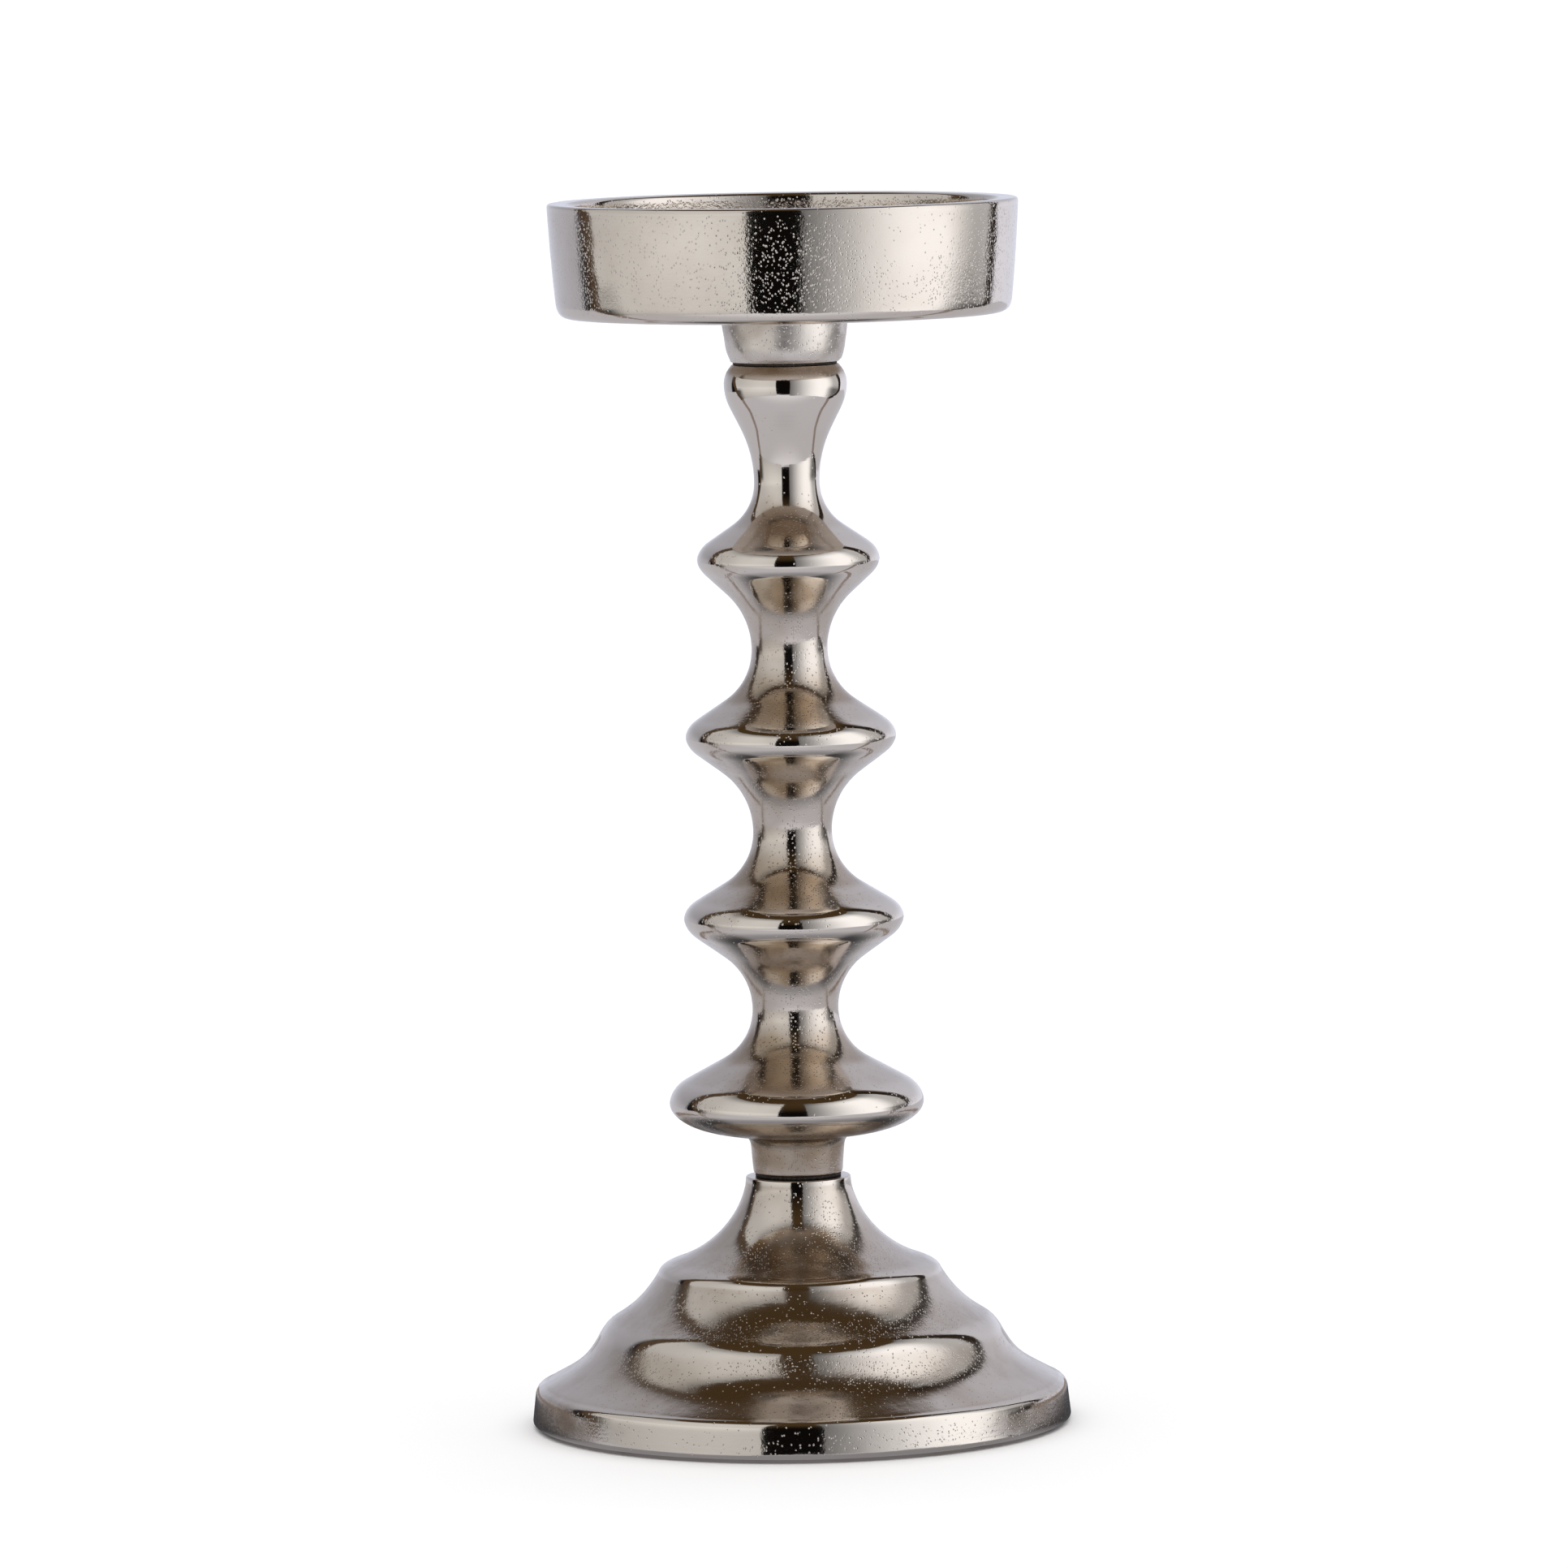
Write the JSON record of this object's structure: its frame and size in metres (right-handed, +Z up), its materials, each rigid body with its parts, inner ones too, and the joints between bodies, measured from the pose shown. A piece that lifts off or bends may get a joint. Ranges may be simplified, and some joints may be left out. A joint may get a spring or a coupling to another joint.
{
  "type": "pillar candle holder",
  "caption": "Pillar candle holder: a shallow round cup on a turned, beaded stem and a hollow stepped bell base, in cast metal with threaded joints.",
  "frame": {"origin": "on the table surface, under the centre of the base", "axes": "+Z up along the stem; the object is round about Z, so +X and +Y are any two level directions; the felt pads lie on the diagonals"},
  "size_m": [0.1318, 0.1318, 0.2995],
  "materials": {
    "nickel_casting": "nickel-finished cast aluminium, polished over fine casting pits",
    "zinc_steel": "bright zinc-plated steel",
    "joint_rubber": "matt dark rubber",
    "felt": "self-adhesive felt"
  },
  "bodies": {
    "holder": {"stepped_base": "nickel_casting", "beaded_stem": "nickel_casting", "stem_washer": "joint_rubber", "base_stud": "zinc_steel", "plate_washer": "zinc_steel", "spring_washer": "zinc_steel", "hex_nut": "zinc_steel", "felt_pad_1": "felt", "felt_pad_2": "felt", "felt_pad_3": "felt", "felt_pad_4": "felt"},
    "joint_washer": {"cup_washer": "joint_rubber"},
    "cup": {"candle_cup": "nickel_casting", "cup_stud": "zinc_steel"}
  },
  "joints": [
    {"name": "cup_turn", "type": "hinge", "parent": "holder", "child": "joint_washer", "pos_m": [0, 0, 0.26], "axis": [0, 0, 1], "range_deg": [0, 3600]},
    {"name": "cup_rise", "type": "slide", "parent": "joint_washer", "child": "cup", "axis": [0, 0, 1], "range_m": [0, 0.0125]}
  ],
  "couplings": [
    {"joint": "cup_rise", "follows": "cup_turn", "m_per_rad": 0.00019894}
  ]
}
